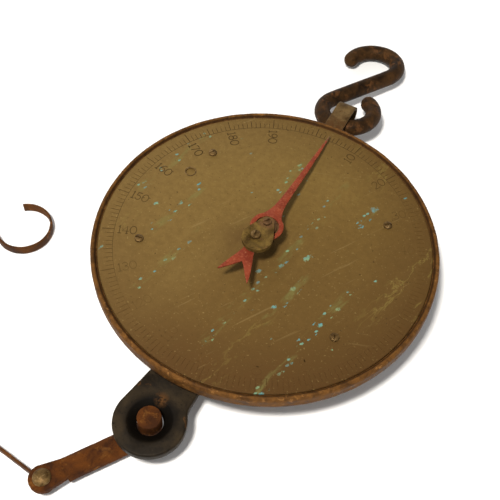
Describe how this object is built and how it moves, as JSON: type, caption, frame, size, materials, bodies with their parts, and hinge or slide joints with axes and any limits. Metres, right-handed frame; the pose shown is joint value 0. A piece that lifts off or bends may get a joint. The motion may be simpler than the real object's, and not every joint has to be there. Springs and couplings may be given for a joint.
{
  "type": "hanging spring scale",
  "caption": "Round brass-dial hanging spring scale with twin springs, rack and pinion pointer, S-hook and strip load hook.",
  "frame": {"origin": "on the spindle axis, at the flat back of the case, which is the face it lies on", "axes": "+Z out of the dial, +Y up the suspension line towards the hanger strap, +X to the right seen from the front"},
  "size_m": [0.3401, 0.4091, 0.0539],
  "materials": {
    "rusty_iron": "rusty",
    "aged_brass": "aged, dull",
    "forged_iron": "dark, lightly rusted",
    "strap_iron": "aged",
    "orange_rust": "rusted",
    "red_paint": "worn paint",
    "steel": "dull"
  },
  "bodies": {
    "case": {"back_shell": "rusty_iron", "rim": "rusty_iron", "dial_plate": "aged_brass", "frame_plate": "forged_iron", "hanger_strap": "strap_iron", "top_crosshead": "forged_iron", "strap_rivet": "steel", "crosshead_block_left": "steel", "crosshead_block_right": "steel", "crosshead_bolt_left": "steel", "crosshead_bolt_right": "steel", "spring_left": "steel", "spring_right": "steel", "upper_plug_left": "steel", "upper_plug_right": "steel", "adjusting_nut_left": "steel", "adjusting_nut_right": "steel", "rack_roller": "aged_brass", "back_bush": "aged_brass", "front_bush": "aged_brass", "bearing_bridge": "aged_brass", "bridge_post_left": "steel", "bridge_post_right": "steel", "bridge_nut_left": "steel", "bridge_nut_right": "steel", "dial_pillar_1": "steel", "dial_pillar_2": "steel", "dial_pillar_3": "steel", "dial_pillar_4": "steel", "dial_screw_1": "steel", "dial_screw_2": "steel", "dial_screw_3": "steel", "dial_screw_4": "steel"},
    "draw": {"draw_bar": "forged_iron", "moving_crosshead": "forged_iron", "rack": "aged_brass", "draw_tie_front": "steel", "draw_tie_back": "steel", "tie_pad_front": "steel", "tie_pad_back": "steel", "tie_rivet_1": "steel", "tie_rivet_2": "steel", "tie_rivet_3": "steel", "lower_plug_left": "steel", "lower_plug_right": "steel", "lower_nut_left": "steel", "lower_nut_right": "steel"},
    "pointer_set": {"spindle": "steel", "pinion": "aged_brass", "pointer_boss": "aged_brass", "pointer": "red_paint", "clamp_plate": "aged_brass", "clamp_screw": "steel", "clamp_spacer": "aged_brass", "spindle_screw": "steel"},
    "top_hook": {"s_hook": "forged_iron"},
    "link": {"load_link": "orange_rust", "hook_rivet": "steel"},
    "load_hook": {"strip_hook": "orange_rust"}
  },
  "joints": [
    {"name": "draw_slide", "type": "slide", "parent": "case", "child": "draw", "axis": [0, -1, 0], "range_m": [0, 0.0367], "stiffness_N_per_m": 23600, "deforming": ["spring_left", "spring_right"]},
    {"name": "pointer_turn", "type": "hinge", "parent": "case", "child": "pointer_set", "pos_m": [0, 0, 0.034], "axis": [0, 0, 1], "range_deg": [-351, 0]},
    {"name": "s_hook_swing", "type": "hinge", "parent": "case", "child": "top_hook", "pos_m": [-0.00435, 0.139, 0.01643], "axis": [-0.0941, 0.1196, 0.9884], "range_deg": [-70, 75]},
    {"name": "link_swing", "type": "hinge", "parent": "draw", "child": "link", "pos_m": [-0.00435, -0.1272, 0.0186], "axis": [0, 0, 1], "range_deg": [-5, 60]},
    {"name": "hook_swing", "type": "hinge", "parent": "link", "child": "load_hook", "pos_m": [-0.03991, -0.17799, 0.0034], "axis": [0, 0, 1], "range_deg": [-5, 110]}
  ],
  "couplings": [
    {"joint": "pointer_turn", "follows": "draw_slide", "rad_per_m": -166.67}
  ]
}
